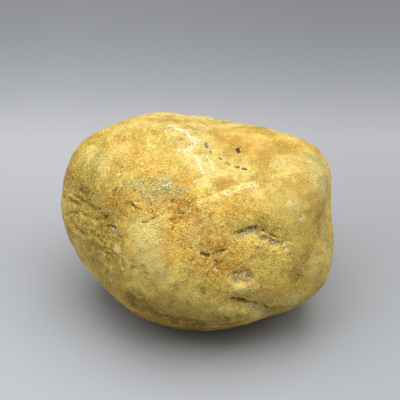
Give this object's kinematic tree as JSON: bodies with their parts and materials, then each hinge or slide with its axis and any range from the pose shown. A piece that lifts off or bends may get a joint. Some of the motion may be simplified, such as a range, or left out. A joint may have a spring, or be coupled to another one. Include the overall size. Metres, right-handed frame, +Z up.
{
  "type": "jadeite pebble",
  "caption": "River-worn raw jadeite stone with a golden weathered skin, rounded block form, shallow folds, chips and a worn flat that it rests on.",
  "frame": {"origin": "centre of the bounding box's base, on the worn flat that the stone rests on", "axes": "+X along the stone's long side to the right end, +Y from the front to the back, +Z up"},
  "size_m": [0.1218, 0.1012, 0.0839],
  "materials": {
    "jadeite_skin": "satin"
  },
  "bodies": {
    "root": {"pebble": "jadeite_skin"}
  },
  "joints": []
}
